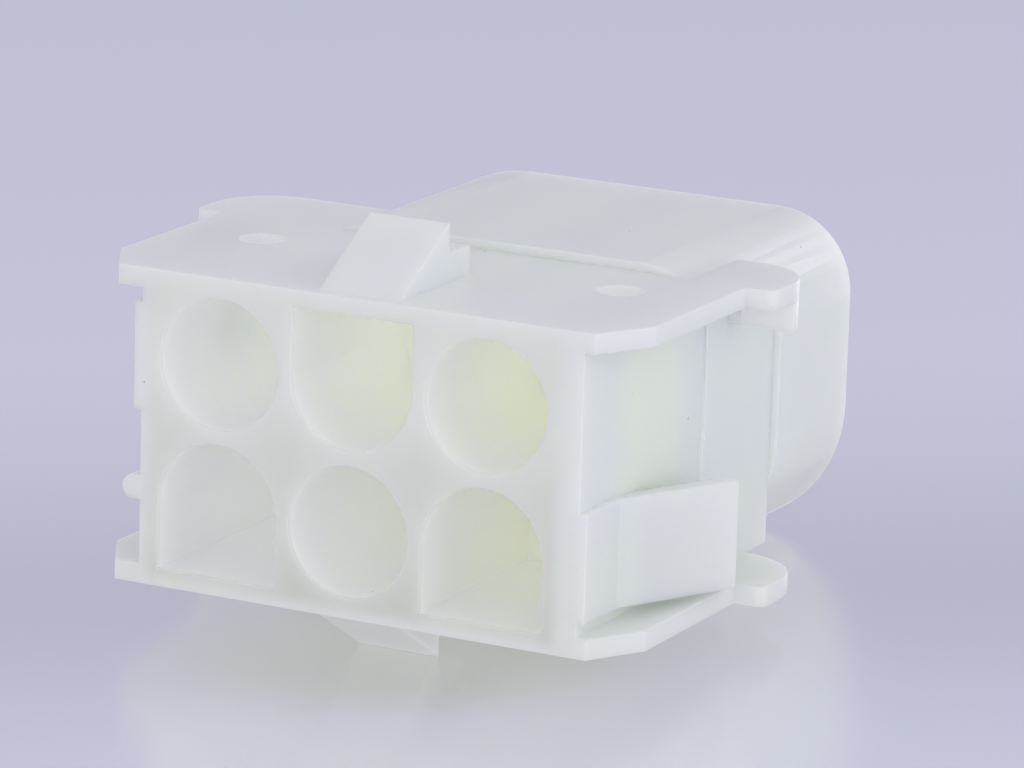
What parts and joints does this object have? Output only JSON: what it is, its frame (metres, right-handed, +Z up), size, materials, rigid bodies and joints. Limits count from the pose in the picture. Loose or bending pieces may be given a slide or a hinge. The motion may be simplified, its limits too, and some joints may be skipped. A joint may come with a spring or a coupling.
{
  "type": "wire connector housing",
  "caption": "Moulded nylon housing for a panel-lock wire connector, with round and squared sockets, locking ramps, side lances and flange ears.",
  "frame": {"origin": "centre of the mating face", "axes": "+X to the right seen from the mating side, +Y from the mating face towards the wire side, +Z up, at right angles to the plates"},
  "size_m": [0.0276, 0.0246, 0.0186],
  "materials": {
    "housing": "natural translucent nylon, smooth moulded faces"
  },
  "bodies": {
    "root": {"housing": "housing"}
  },
  "joints": []
}
